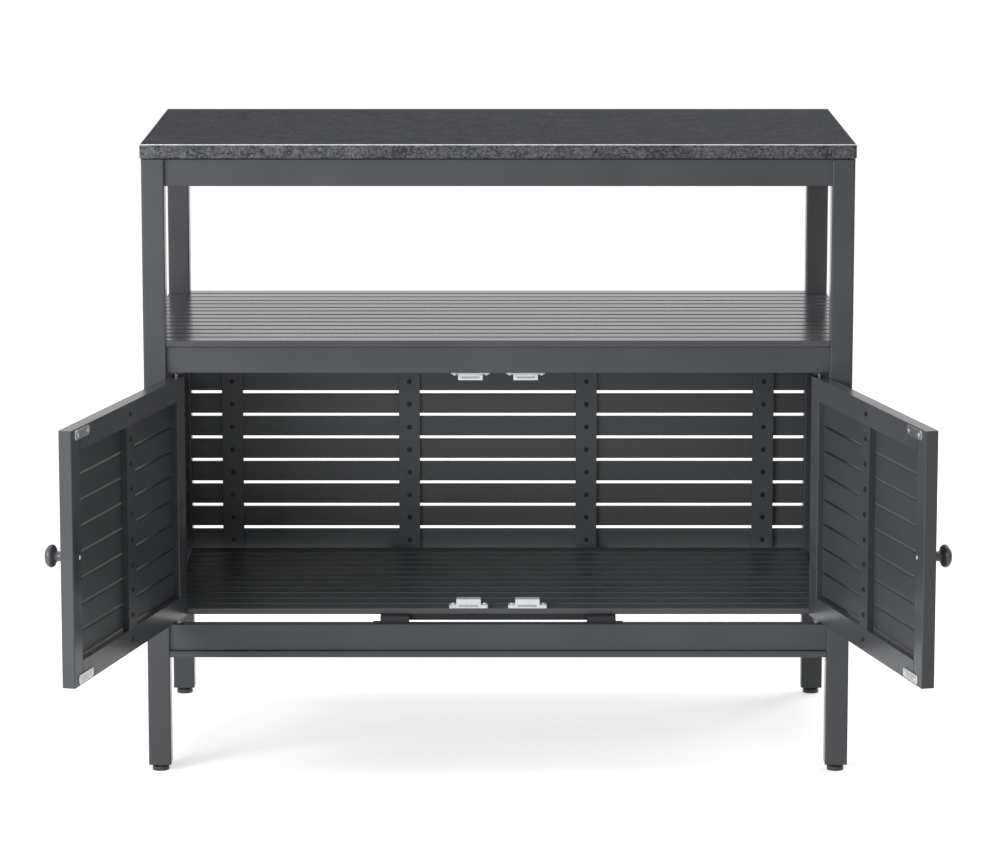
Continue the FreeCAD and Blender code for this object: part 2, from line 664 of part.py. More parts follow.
def make_door(side, pivot_x, turn, outer):
    """One door with all that is fixed to it. Outer is the sign of its outer face along its own Y."""
    inner = -outer

    def door_piece(name):
        body = new_body(f"door_{side}_{name}")
        place(body, (pivot_x, pivot_y, "0"), turn)
        return body

    def from_face(sign, depth, thickness):
        """The low Y of a layer that starts a depth below the face on one side."""
        if sign < 0:
            return f"(-{half_door} + {depth})"
        return f"({half_door} - {depth} - {thickness})"

    def cross_round(body, centres, diameter, start, length):
        """Round bars along the door's Y: from a start, towards the outer face."""
        sketch = sketch_in(body, "XZ_Plane", f"(-({start}))")
        for centre in centres:
            draw_circle(sketch, centre, diameter)
        return pad(body, sketch, length, reverse=(outer > 0))

    def cross_hole(body, centres, diameter, start, length):
        """Round holes along the door's Y: from a start, towards the outer face."""
        sketch = sketch_in(body, "XZ_Plane", f"(-({start}))")
        for centre in centres:
            draw_circle(sketch, centre, diameter)
        return pocket(body, sketch, length, reverse=(outer < 0))

    inner_face = f"({inner} * {half_door})"

    # Stiles: upright tubes at the hinge edge and the meeting edge
    stiles = door_piece("stiles")
    stile_sketch = sketch_in(stiles, "XY_Plane", f"({door_low} + size.door_cap_thickness)")
    for x in (hinge_edge, meeting_stile_x):
        draw_rectangle(stile_sketch, (x, f"-{half_door}"), ("size.stile_width", "size.door_thickness"))
        draw_rectangle(stile_sketch, (f"{x} + size.door_wall", f"-{half_door} + size.door_wall"),
                       ("size.stile_width - 2 * size.door_wall", "size.door_thickness - 2 * size.door_wall"))
    stile_pad = pad(stiles, stile_sketch, f"({door_height} - 2 * size.door_cap_thickness)")
    stile_box = stile_pad.Shape.BoundBox
    stile_ends = [number_of(x) for x in (hinge_edge, panel_x, meeting_stile_x, meeting_edge)]

    def stile_corner(edge):
        middle = edge.valueAt((edge.FirstParameter + edge.LastParameter) / 2)
        on_face = min(abs(middle.y - stile_box.YMin), abs(middle.y - stile_box.YMax)) < EDGE_TOLERANCE
        return on_face and edge.Length > LONG_SHARE * stile_box.ZLength and min(
            abs(middle.x - end) for end in stile_ends) < EDGE_TOLERANCE

    round_edges(stiles, stile_pad, "size.door_corner", stile_corner)
    cross_hole(stiles, [(knob_x, knob_level)], "size.knob_screw_diameter", inner_face, "size.door_thickness")

    # Caps that close the stiles, with a bore for the pin at the hinge edge
    caps = door_piece("end_caps")
    plug_inset = "(size.door_wall + size.plug_clearance)"
    top_plate_low = f"({door_top} - size.door_cap_thickness)"
    top_plug_low = f"({top_plate_low} - size.door_cap_plug)"
    for plate_low, plug_low in (
        (door_low, f"({door_low} + size.door_cap_thickness)"),
        (top_plate_low, top_plug_low),
    ):
        for x in (hinge_edge, meeting_stile_x):
            block(caps, (x, f"-{half_door}", plate_low),
                  ("size.stile_width", "size.door_thickness", "size.door_cap_thickness"))
            plug = block(caps, (f"{x} + {plug_inset}", f"-{half_door} + {plug_inset}", plug_low),
                         (f"size.stile_width - 2 * {plug_inset}", f"size.door_thickness - 2 * {plug_inset}",
                          "size.door_cap_plug"))
    plate_height = number_of("size.door_cap_thickness")

    def cap_corner(edge):
        upright = abs(edge.tangentAt(edge.FirstParameter).z) > UPRIGHT
        return upright and abs(edge.Length - plate_height) < EDGE_TOLERANCE

    round_edges(caps, plug, "size.door_corner", cap_corner)
    drill_up(caps, [("0", "0")], door_low, "size.pin_diameter", door_height)

    # Pivot pins, pressed into the caps. The lower one has a shoulder that carries the door on its bush
    pins = door_piece("pivot_pins")
    pin_length = "(size.pin_reach + size.door_cap_thickness + size.door_cap_plug)"
    for low in (f"({door_low} - size.pin_reach)", top_plug_low):
        outline = sketch_in(pins, "XY_Plane", low)
        draw_circle(outline, ("0", "0"), "size.pin_diameter")
        pad(pins, outline, pin_length)
    shoulder_low = f"({base_rail_top} + size.bush_flange_thickness + size.running_clearance)"
    shoulder = sketch_in(pins, "XY_Plane", shoulder_low)
    draw_circle(shoulder, ("0", "0"), "size.pin_shoulder_diameter")
    pad(pins, shoulder, f"({door_low} - {shoulder_low})")

    # Top and bottom rails: tubes between the stiles
    rails = door_piece("rails")
    rail_sketch = sketch_in(rails, "YZ_Plane", panel_x)
    for low in (door_low, f"({door_top} - size.door_rail_height)"):
        draw_rectangle(rail_sketch, (f"-{half_door}", low), ("size.door_thickness", "size.door_rail_height"))
        draw_rectangle(rail_sketch, (f"-{half_door} + size.door_wall", f"{low} + size.door_wall"),
                       ("size.door_thickness - 2 * size.door_wall",
                        "size.door_rail_height - 2 * size.door_wall"))
    pad(rails, rail_sketch, panel_width)

    # Slats, flush with the outer face
    slats = door_piece("slats")
    slat_sketch = sketch_in(slats, "YZ_Plane", panel_x)
    slat_y = from_face(outer, "0", "size.slat_thickness")
    draw_rectangle(slat_sketch, (slat_y, door_slat_low), ("size.slat_thickness", "size.door_slat_width"))
    draw_rectangle(slat_sketch, (f"{slat_y} + size.slat_wall", f"{door_slat_low} + size.slat_wall"),
                   ("size.slat_thickness - 2 * size.slat_wall", "size.door_slat_width - 2 * size.slat_wall"))
    slat_pad = pad(slats, slat_sketch, panel_width)

    round_edges(slats, slat_pad, "size.slat_corner", on_the_outside(slat_pad))
    repeat(slats, "Z", "size.door_slat_count", door_slat_pitch)

    # Middle stile behind the slats, flush with the inner face, with screws into the slats and in the rails
    mid = door_piece("mid_stile")
    block(mid, (mid_stile_x, from_face(inner, "0", mid_stile_thickness), panel_low),
          ("size.batten_width", mid_stile_thickness, panel_height))
    mid_stile_middle = f"({mid_stile_x} + size.batten_width / 2)"
    slat_spots = [(mid_stile_middle, level) for level in door_slat_levels]
    rail_spots = [(mid_stile_middle, f"{door_low} + size.door_rail_height / 2"),
                  (mid_stile_middle, f"{door_top} - size.door_rail_height / 2")]
    cross_hole(mid, slat_spots, "size.screw_diameter", inner_face, mid_stile_thickness)
    cross_hole(rails, rail_spots, "size.screw_diameter", inner_face, "size.door_wall")
    screws = door_piece("screws")
    screw_spots = slat_spots + rail_spots
    cross_round(screws, screw_spots, "size.screw_diameter", inner_face, mid_stile_thickness)
    head_start = f"({inner} * ({half_door} + size.screw_head_height))"
    cross_round(screws, screw_spots, "size.screw_head_diameter", head_start, "size.screw_head_height")

    # Knob, turned, and the plated screws: one holds the knob from inside, four lie flush in the strikes
    knob = door_piece("knob")
    knob_sketch = sketch_in(knob, "XY_Plane", knob_level)
    shape = [
        ("size.knob_screw_diameter / 2", "0"),
        ("size.knob_base_diameter / 2", "0"),
        ("size.knob_base_diameter / 2", "size.knob_base_thickness"),
        ("size.knob_stem_diameter / 2", "2 * size.knob_base_thickness"),
        ("size.knob_stem_diameter / 2", "size.knob_projection - size.knob_crown"),
        (f"{knob_radius} - size.knob_round", "size.knob_projection - size.knob_crown"),
        (knob_radius, "size.knob_projection - size.knob_crown + size.knob_round"),
        (knob_radius, "size.knob_projection - size.knob_round"),
        (f"{knob_radius} - size.knob_round", "size.knob_projection"),
        ("0", "size.knob_projection"),
        ("0", "size.knob_screw_grip"),
        ("size.knob_screw_diameter / 2", "size.knob_screw_grip"),
    ]
    draw_polygon(knob_sketch, [(f"{knob_x} + {radius}", f"{outer} * ({half_door} + {out})")
                               for radius, out in shape])
    axis_line = knob_sketch.addGeometry(Part.LineSegment(
        FreeCAD.Vector(number_of(knob_x), 0, 0), FreeCAD.Vector(number_of(knob_x), outer * 10, 0)), True)
    bind_point(knob_sketch, axis_line, 1, (knob_x, "0"))
    bind_point(knob_sketch, axis_line, 2, (knob_x, f"{outer} * {half_door}"))
    turning = knob.newObject("PartDesign::Revolution", "turning")
    turning.Profile = knob_sketch
    turning.ReferenceAxis = (knob_sketch, ["Axis0"])
    turning.Angle = 360
    doc.recompute()

    plated_screws = door_piece("plated_screws")
    spot = [(knob_x, knob_level)]
    cross_round(plated_screws, spot, "size.knob_screw_diameter", inner_face,
                "(size.door_thickness + size.knob_screw_grip)")
    cross_round(plated_screws, spot, "size.screw_head_diameter", head_start, "size.screw_head_height")

    # Strike plates for the catches, near the top and the bottom of the meeting edge
    strikes = door_piece("strike_plates")
    strike_y = from_face(inner, "(-size.strike_thickness)", "size.strike_thickness")
    for low in (f"({door_low} + size.strike_edge)", f"({door_top} - size.strike_edge - size.strike_height)"):
        plate = block(strikes, (strike_low_x, strike_y, low),
                      ("size.strike_length", "size.strike_thickness", "size.strike_height"))

    def plate_corner(edge):
        return abs(edge.tangentAt(edge.FirstParameter).y) > UPRIGHT

    round_edges(strikes, plate, "size.strike_corner", plate_corner)
    strike_middle = f"({strike_low_x} + size.strike_length / 2)"
    rise = "(size.strike_edge + size.strike_height / 2)"
    spots = [(f"{strike_middle} {sign} size.strike_hole_pitch / 2", level)
             for sign in ("-", "+") for level in (f"{door_low} + {rise}", f"{door_top} - {rise}")]
    plate_face = f"({inner} * ({half_door} + size.strike_thickness))"
    cross_hole(strikes, spots, "size.strike_hole_diameter", plate_face, "size.strike_thickness")
    cross_round(plated_screws, spots, "size.strike_hole_diameter", plate_face, "size.strike_thickness")


make_door("left", pivot_left, "(-size.open_angle)", -1)
make_door("right", f"(-{pivot_left})", "(180 + size.open_angle)", 1)

# Every sub-part has to be whole before anything is written
doc.recompute()
for item in doc.Objects:
    if "Invalid" in item.State or "Error" in item.State:
        raise ValueError("%s in the model failed: %s" % (item.Label, item.State))
for body in doc.findObjects("PartDesign::Body"):
    if body.Shape.isNull() or not body.Shape.isValid():
        raise ValueError("%s has no valid shape" % body.Label)
for body in doc.findObjects("PartDesign::Body"):
    body.Shape.exportStep("parts/%s.step" % body.Label)
    print(body.Label, len(body.Shape.Solids), "solids", round(body.Shape.Volume), "mm3")
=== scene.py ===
import math
import bmesh
import bpy
from mathutils import Matrix, Vector


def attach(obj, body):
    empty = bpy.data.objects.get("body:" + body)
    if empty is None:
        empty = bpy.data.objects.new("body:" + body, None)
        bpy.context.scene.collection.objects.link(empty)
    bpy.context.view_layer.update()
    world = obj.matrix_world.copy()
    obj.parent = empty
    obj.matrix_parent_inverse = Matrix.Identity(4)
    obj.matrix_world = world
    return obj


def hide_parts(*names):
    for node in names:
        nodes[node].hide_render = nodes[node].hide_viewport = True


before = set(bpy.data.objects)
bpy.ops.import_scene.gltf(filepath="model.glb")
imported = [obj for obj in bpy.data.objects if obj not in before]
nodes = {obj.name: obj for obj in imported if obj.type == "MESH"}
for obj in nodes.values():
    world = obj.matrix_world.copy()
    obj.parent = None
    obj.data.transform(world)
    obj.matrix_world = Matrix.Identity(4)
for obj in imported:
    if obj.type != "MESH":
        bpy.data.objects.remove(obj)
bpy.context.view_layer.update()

# Levelling feet: round pads of glass-filled nylon, moulded onto threaded stems that screw up into the legs.
# A narrower neck shows between each pad and its leg.


def linear(hex_colour):
    """An sRGB hex colour as the linear colour that a shader takes."""
    parts = [int(hex_colour[start:start + 2], 16) / 255 for start in (1, 3, 5)]
    red, green, blue = [part / 12.92 if part <= 0.04045 else ((part + 0.055) / 1.055) ** 2.4
                        for part in parts]
    return red, green, blue, 1.0


def add_node(tree, kind, values=None, links=None, **settings):
    """Adds a shader node with its settings, its socket values and what feeds its sockets."""
    node = tree.nodes.new(kind)
    for name, value in settings.items():
        setattr(node, name, value)
    for name, value in (values or {}).items():
        node.inputs[name].default_value = value
    for name, socket in (links or {}).items():
        tree.links.new(socket, node.inputs[name])
    return node


def new_material(name):
    """A material, its node tree, its shader, and the place on the piece in metres."""
    material = bpy.data.materials.new(name)
    material.use_nodes = True
    tree = material.node_tree
    place = add_node(tree, "ShaderNodeTexCoord").outputs["Object"]
    return material, tree, tree.nodes["Principled BSDF"], place


def two_tones(tree, factor, dark, light, start=0.3, end=0.7):
    """A colour that follows a pattern from a dark tone to a light one."""
    ramp = add_node(tree, "ShaderNodeValToRGB", links={"Fac": factor})
    for stop, position, tone in zip(ramp.color_ramp.elements, (start, end), (dark, light)):
        stop.position = position
        stop.color = linear(tone)
    return ramp.outputs["Color"]


def finish_with(material, names):
    """Gives CAD pieces their finish."""
    for name in names:
        slots = nodes[name].data.materials
        slots.clear()
        slots.append(material)


SAME_CORNER_MM = 0.01
SHARP_FROM = math.radians(40)


def soften_edges(names, width_mm):
    """Breaks the sharp edges of CAD pieces, as a mould, a deburring wheel or a coat does."""
    for name in names:
        join = nodes[name].modifiers.new("joined_corners", "WELD")
        join.merge_threshold = SAME_CORNER_MM / 1000
        bevel = nodes[name].modifiers.new("broken_edges", "BEVEL")
        bevel.width = width_mm / 1000
        bevel.segments = 2
        bevel.limit_method = "ANGLE"
        bevel.angle_limit = SHARP_FROM
        bevel.harden_normals = True


# Glass-filled nylon, as moulded: black with a dull sheen, and a grain that breaks up the highlights
foot_nylon, tree, shader, place = new_material("glass_filled_nylon")
MOULD_GRAIN_MM = 0.8            # the real grain is finer, and wouldn't show
MOULD_GRAIN_DEPTH_MM = 0.2
grain = add_node(tree, "ShaderNodeTexNoise", {"Scale": 1000 / MOULD_GRAIN_MM, "Detail": 3.0},
                 {"Vector": place})
relief = add_node(tree, "ShaderNodeBump", {"Strength": 0.25, "Distance": MOULD_GRAIN_DEPTH_MM / 1000},
                  {"Height": grain.outputs["Fac"]})
tree.links.new(two_tones(tree, grain.outputs["Fac"], "#2a2a2c", "#434346"), shader.inputs["Base Color"])
tree.links.new(relief.outputs["Normal"], shader.inputs["Normal"])
shader.inputs["Roughness"].default_value = 0.5
feet = ["foot_front_left", "foot_front_right", "foot_rear_left", "foot_rear_right"]
finish_with(foot_nylon, feet)
soften_edges(feet, width_mm=0.4)

# Frame: square aluminium legs and aluminium rails of flat tube, welded together and powder coated as one.
# Nylon inserts take the feet, caps close the tops of the legs, and bushes carry the doors' pins.
# One slat lies flat under the front base rail, as a trim.
PEEL_MM = 4                     # the real peel is finer, and would only sparkle
PEEL_DEPTH_MM = 0.2
DRIFT_MM = 140                  # from one paler or duller place to the next
GLOSS_DRIFT = 0.05              # of the roughness, either way


def powder_coat(name, dark, light, roughness, specular):
    """Baked polyester powder on aluminium: a faint orange peel, and slow drifts of tone and gloss."""
    material, tree, shader, place = new_material(name)
    peel = add_node(tree, "ShaderNodeTexNoise", {"Scale": 1000 / PEEL_MM, "Detail": 2.0}, {"Vector": place})
    drift = add_node(tree, "ShaderNodeTexNoise", {"Scale": 1000 / DRIFT_MM, "Detail": 3.0}, {"Vector": place})
    gloss = add_node(tree, "ShaderNodeMapRange",
                     {"To Min": roughness - GLOSS_DRIFT, "To Max": roughness + GLOSS_DRIFT},
                     {"Value": drift.outputs["Fac"]})
    relief = add_node(tree, "ShaderNodeBump", {"Strength": 0.03, "Distance": PEEL_DEPTH_MM / 1000},
                      {"Height": peel.outputs["Fac"]})
    tree.links.new(two_tones(tree, drift.outputs["Fac"], dark, light), shader.inputs["Base Color"])
    tree.links.new(gloss.outputs["Result"], shader.inputs["Roughness"])
    tree.links.new(relief.outputs["Normal"], shader.inputs["Normal"])
    shader.inputs["Specular IOR Level"].default_value = specular
    return material


# Anthracite powder coat: satin, with broad soft highlights along the tubes
frame_coat = powder_coat("anthracite_powder_coat", "#444649", "#4c4e51", roughness=0.25, specular=0.33)
finish_with(frame_coat, ["leg_front_left", "leg_front_right", "leg_rear_left", "leg_rear_right", "base_trim"])
finish_with(frame_coat, [f"{level}_{rail}" for level in ("top", "shelf", "base")
                         for rail in ("rail_front", "rail_rear", "side_rails")])

# Black nylon, as moulded: dark and a little waxy, with a fainter grain than the feet
black_nylon, tree, shader, place = new_material("black_nylon")
grain = add_node(tree, "ShaderNodeTexNoise", {"Scale": 1000 / MOULD_GRAIN_MM}, {"Vector": place})
relief = add_node(tree, "ShaderNodeBump", {"Strength": 0.15, "Distance": MOULD_GRAIN_DEPTH_MM / 1000},
                  {"Height": grain.outputs["Fac"]})
tree.links.new(two_tones(tree, grain.outputs["Fac"], "#2b2c2e", "#343537"), shader.inputs["Base Color"])
tree.links.new(relief.outputs["Normal"], shader.inputs["Normal"])
shader.inputs["Roughness"].default_value = 0.45
finish_with(black_nylon, ["foot_inserts", "leg_caps", "pivot_bushes"])

# Floor of the compartment: coated aluminium slats across two lugged bearers, which stand on the base rails.
# A strip lies between the bearers. The slats have the coat of the inside, and what is under them is near
# black, partly painted shade.

# Fine-texture powder coat: duller than the frame's, so the inside of the cabinet looks darker
inner_coat = powder_coat("fine_texture_powder_coat", "#45484b", "#4d5053", roughness=0.42, specular=0.5)
finish_with(inner_coat, ["floor_slats"])

# Near-black powder coat with hardly any highlight: a dark tone deepened as painted shade, so the bearers sink
# into the shadow under the floor
under_floor_shade_coat = powder_coat("near_black_coat_with_painted_shade", "#2a2b2d", "#333436", roughness=0.5, specular=0.3)
finish_with(under_floor_shade_coat, ["floor_bearers", "floor_cross_strip"])
soften_edges(["floor_bearers", "floor_cross_strip"], width_mm=0.6)

# Back and sides: slats laid level between the legs, screwed from inside to upright flat battens.
# They have the coat of the inside. The screws are blackened steel, with pan heads and a cross recess.
finish_with(inner_coat, ["back_slats", "back_battens", "side_slats", "side_battens"])

# Blackened steel: near black, with a dim glint and the mottle of its oxide
black_steel, tree, shader, place = new_material("blackened_steel")
BLUING_MM = 2.5
bluing = add_node(tree, "ShaderNodeTexNoise", {"Scale": 1000 / BLUING_MM}, {"Vector": place})
tree.links.new(two_tones(tree, bluing.outputs["Fac"], "#1c1c1e", "#38383b"), shader.inputs["Base Color"])
shader.inputs["Metallic"].default_value = 0.8
shader.inputs["Roughness"].default_value = 0.42

PAN_HEAD_MM = (3.5, 2.0)        # radius and height
HEAD_PROFILE = [(1.0, 0.0), (1.0, 0.45), (0.93, 0.75), (0.8, 0.93)]     # shares of the radius and height
HEAD_REACH_MM = 1.2             # how far below the top a point still counts as a head's
HEADS_APART_MM = 9
CROSS_ARM = 0.6                 # share of the head's radius
RIM_STEP = 15                   # degrees from one point of the rim to the next, and half an arm's spread
RECESS_DEPTH = 0.6              # share of the head's height
RECESS_TAPER = 0.8


def screw_places(node, out):
    """Where the heads of a CAD piece's screws have their tops, looking along one direction."""
    piece = nodes[node]
    points = [piece.matrix_world @ vertex.co for vertex in piece.data.vertices]
    top = max(point.dot(out) for point in points)
    tops = [point for point in points if point.dot(out) > top - HEAD_REACH_MM / 1000]
    places = []
    while tops:
        head = [point for point in tops if (point - tops[0]).length < HEADS_APART_MM / 1000]
        tops = [point for point in tops if (point - tops[0]).length >= HEADS_APART_MM / 1000]
        middle = Vector([(min(axis) + max(axis)) / 2 for axis in zip(*head)])
        places.append(middle + out * (max(point.dot(out) for point in head) - middle.dot(out)))
    return places


def cross_outline(radius):
    """A cross of four arms, as its corners and the points half way between them."""
    arm = radius * CROSS_ARM
    half = arm * math.tan(math.radians(RIM_STEP))
    corners = []
    for turn in range(4):
        swing = Matrix.Rotation(turn * math.pi / 2, 2)
        corners += [swing @ Vector(corner) for corner in ((arm, -half), (arm, half), (half, half))]
    sides = zip(corners, corners[1:] + corners[:1])
    return [point for start, end in sides for point in (start, (start + end) / 2)]


def join_rings(mesh, low, high, smooth):
    """A band of faces between two rings of points."""
    for step in range(len(low)):
        after = (step + 1) % len(low)
        mesh.faces.new((low[step], low[after], high[after], high[step])).smooth = smooth


def new_piece(name, mesh, material):
    """A piece of the scene from a finished mesh, in one material."""
    data = bpy.data.meshes.new(name)
    mesh.to_mesh(data)
    mesh.free()
    data.materials.append(material)
    piece = bpy.data.objects.new(name, data)
    bpy.context.scene.collection.objects.link(piece)
    return piece


def screw_heads(name, spots, head_mm, material):
    """Screw heads with a cross recess, at pairs of a place for the top and a direction."""
    radius, height = [size / 1000 for size in head_mm]
    cross = cross_outline(radius)
    angles = [math.radians(RIM_STEP * (step - 1)) for step in range(len(cross))]
    rim = [Vector((math.cos(angle), math.sin(angle))) for angle in angles]
    levels = [[(*(point * radius * share), height * (up - 1)) for point in rim] for share, up in HEAD_PROFILE]
    levels.append([(*point, 0) for point in cross])
    levels.append([(*(point * RECESS_TAPER), -height * RECESS_DEPTH) for point in cross])
    mesh = bmesh.new()
    for top, out in spots:
        seat = Matrix.Translation(top) @ out.to_track_quat("Z", "Y").to_matrix().to_4x4()
        rings = [[mesh.verts.new(seat @ Vector(point)) for point in level] for level in levels]
        for number, (low, high) in enumerate(zip(rings, rings[1:]), start=1):
            join_rings(mesh, low, high, smooth=number < len(HEAD_PROFILE))
        mesh.faces.new(rings[-1])
        mesh.faces.new(list(reversed(rings[0])))
    return new_piece(name, mesh, material)


INWARDS = {"back_screws": [Vector((0, -1, 0))], "side_screws": [Vector((1, 0, 0)), Vector((-1, 0, 0))]}
for node, directions in INWARDS.items():
    spots = [(top, out) for out in directions for top in screw_places(node, out)]
    heads = screw_heads(f"{node[:-1]}_heads", spots, PAN_HEAD_MM, black_steel)
    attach(heads, "cabinet")
    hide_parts(node)

# Shelf: aluminium slats over the whole depth, on battens that run from the front rail to the rear rail.
# They are coated smooth, so that they can be wiped clean, and nylon plugs close their ends.
finish_with(black_nylon, ["shelf_slat_plugs"])

# Smooth powder coat: the most gloss, so the shelf mirrors the pale surround at a low angle and looks bright
slat_coat = powder_coat("smooth_powder_coat", "#404146", "#48494e", roughness=0.21, specular=0.5)
finish_with(slat_coat, ["shelf_slats", "shelf_edge_slats", "shelf_battens"])
soften_edges(["shelf_battens"], width_mm=0.6)

# Magnetic catches: moulded acetal housings with two ears, and a ground steel magnet in the front of each.
# Plated screws hold two of them under the shelf rail and two on the floor.

# White acetal, as moulded: a clean cool white with a soft shine and faint flow marks
white_acetal, tree, shader, place = new_material("white_acetal")
FLOW_MM = 6
flow = add_node(tree, "ShaderNodeTexNoise", {"Scale": 1000 / FLOW_MM}, {"Vector": place})
tree.links.new(two_tones(tree, flow.outputs["Fac"], "#e8ebf2", "#f7f9ff"), shader.inputs["Base Color"])
shader.inputs["Roughness"].default_value = 0.35
finish_with(white_acetal, ["catch_housings"])
soften_edges(["catch_housings"], width_mm=0.8)

# Zinc-plated steel: bright and silvery, with small patches of more and less shine
zinc_plate, tree, shader, place = new_material("zinc_plated_steel")
SPANGLE_MM = 3
spangle = add_node(tree, "ShaderNodeTexVoronoi", {"Scale": 1000 / SPANGLE_MM}, {"Vector": place})
rub = add_node(tree, "ShaderNodeMapRange", {"To Min": 0.25, "To Max": 0.4},
               {"Value": spangle.outputs["Distance"]})
tree.links.new(two_tones(tree, spangle.outputs["Distance"], "#c4c6c8", "#dfe0e1"), shader.inputs["Base Color"])
tree.links.new(rub.outputs["Result"], shader.inputs["Roughness"])
shader.inputs["Metallic"].default_value = 1.0
finish_with(zinc_plate, ["catch_screws"])
soften_edges(["catch_screws"], width_mm=0.6)

# Ground magnet steel: a grey metal bar, dull beside the white around it
magnet_steel, tree, shader, place = new_material("ground_magnet_steel")
GRIND_MM = 0.7                  # the real scratches are finer, and wouldn't show
grind = add_node(tree, "ShaderNodeTexNoise", {"Scale": 1000 / GRIND_MM}, {"Vector": place})
tree.links.new(two_tones(tree, grind.outputs["Fac"], "#88898e", "#a0a1a6"), shader.inputs["Base Color"])
shader.inputs["Metallic"].default_value = 1.0
shader.inputs["Roughness"].default_value = 0.4
finish_with(magnet_steel, ["catch_magnets"])

# Doors: frames of flat tube, with slats flush with the outer face and a middle stile behind them, inside.
# Nylon caps in the frame's colour close the stiles and hold the steel pins that the door turns on.
# The strikes are zinc plated, and so are the screws that hold them and the knob.
DOOR_SWING = math.radians(104.5)            # how far it stands open
PLATED_HEAD_MM = (3.0, 1.2)                 # radius and height

# Painted shade: the frame's coat made darker, with little shine, on the door slats and middle stile, for the
# shade on the doors' inner faces
door_painted_shade_coat = powder_coat("door_slats_painted_shade", "#3b3e40", "#434648", roughness=0.42, specular=0.33)

# Turned steel: grey metal, ringed by the marks of the tool
turned_steel, tree, shader, place = new_material("turned_steel")
TOOL_MARK_MM = 3.77             # the real marks are finer, and wouldn't show
WAVES_PER_METRE = 20 / (2 * math.pi)        # of the wave texture at a scale of 1
marks = add_node(tree, "ShaderNodeTexWave",
                 {"Scale": 1000 / TOOL_MARK_MM / WAVES_PER_METRE, "Distortion": 1.0},
                 {"Vector": place}, bands_direction="Z")
tree.links.new(two_tones(tree, marks.outputs["Fac"], "#5c5d60", "#7a7b7e"), shader.inputs["Base Color"])
shader.inputs["Metallic"].default_value = 1.0
shader.inputs["Roughness"].default_value = 0.4

for side, sign in (("left", -1), ("right", 1)):
    inwards = Vector((-sign * math.sin(DOOR_SWING), math.cos(DOOR_SWING), 0))
    finish_with(frame_coat, [f"door_{side}_{piece}" for piece in ("stiles", "rails", "end_caps")])
    # The slats and middle stile take the darker coat, as painted shade
    finish_with(door_painted_shade_coat, [f"door_{side}_{piece}" for piece in ("slats", "mid_stile")])
    finish_with(zinc_plate, [f"door_{side}_strike_plates"])
    finish_with(turned_steel, [f"door_{side}_pivot_pins"])
    soften_edges([f"door_{side}_strike_plates"], width_mm=0.4)
    for node, head_mm, material, slot in (
        (f"door_{side}_screws", PAN_HEAD_MM, black_steel, "screw_steel"),
        (f"door_{side}_plated_screws", PLATED_HEAD_MM, zinc_plate, "zinc_plate"),
    ):
        spots = [(top, inwards) for top in screw_places(node, inwards)]
        heads = screw_heads(f"{node[:-1]}_heads", spots, head_mm, material)
        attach(heads, f"door_{side}")
        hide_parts(node)

# Knobs: turned aluminium mushrooms, lacquered anthracite, each held by a screw from inside the door.
# The crown is a shallow dome with a soft rim, on a waisted stem that flares out to its foot.
KNOB_PROFILE_MM = [             # radius and height
    (9.5, 0.0), (9.5, 1.2), (9.1, 2.2), (7.4, 4.2), (6.6, 6.5), (6.5, 9.0), (6.9, 12.0), (8.2, 14.2),
    (11.0, 15.4), (13.8, 16.8), (15.2, 18.6), (15.5, 20.4), (15.1, 22.2), (13.8, 24.3), (11.2, 26.3),
    (7.6, 27.5), (3.8, 27.9),
]
KNOB_HEIGHT_MM = 28.0
KNOB_SEGMENTS = 48
KNOB_FOOT = (0.56958, -0.64655, 0.397)      # metres, on the outer face of the right door as it stands open

# Anthracite lacquer: a shade paler than the frame, with a round satin highlight
lacquer = powder_coat("anthracite_lacquer", "#48494c", "#525356", roughness=0.3, specular=0.5)


def turned(name, profile_mm, height_mm, segments, material):
    """A turned piece about its own Z, from a profile of radius and height and the height of its crown."""
    mesh = bmesh.new()
    angles = [2 * math.pi * step / segments for step in range(segments)]
    rings = [[mesh.verts.new((radius / 1000 * math.cos(angle), radius / 1000 * math.sin(angle), height / 1000))
              for angle in angles] for radius, height in profile_mm]
    for low, high in zip(rings, rings[1:]):
        join_rings(mesh, low, high, smooth=True)
    crown = mesh.verts.new((0, 0, height_mm / 1000))
    for step in range(segments):
        mesh.faces.new((rings[-1][step], rings[-1][(step + 1) % segments], crown)).smooth = True
    mesh.faces.new(list(reversed(rings[0]))).smooth = True
    return new_piece(name, mesh, material)


for side, sign in (("left", -1), ("right", 1)):
    knob = turned(f"knob_{side}", KNOB_PROFILE_MM, KNOB_HEIGHT_MM, KNOB_SEGMENTS, lacquer)
    out = Vector((sign * math.sin(DOOR_SWING), -math.cos(DOOR_SWING), 0))
    foot = Vector((sign * KNOB_FOOT[0], *KNOB_FOOT[1:]))
    knob.data.transform(Matrix.Translation(foot) @ out.to_track_quat("Z", "Y").to_matrix().to_4x4())
    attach(knob, f"door_{side}")
    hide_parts(f"door_{side}_knob")

# Worktop: a slab of fine-grained dark granite, honed on top and polished on its edges, on rubber pads.
# The arris is ground by hand. A pale line on its upward-facing faces, along the top edges, is a painted
# highlight.

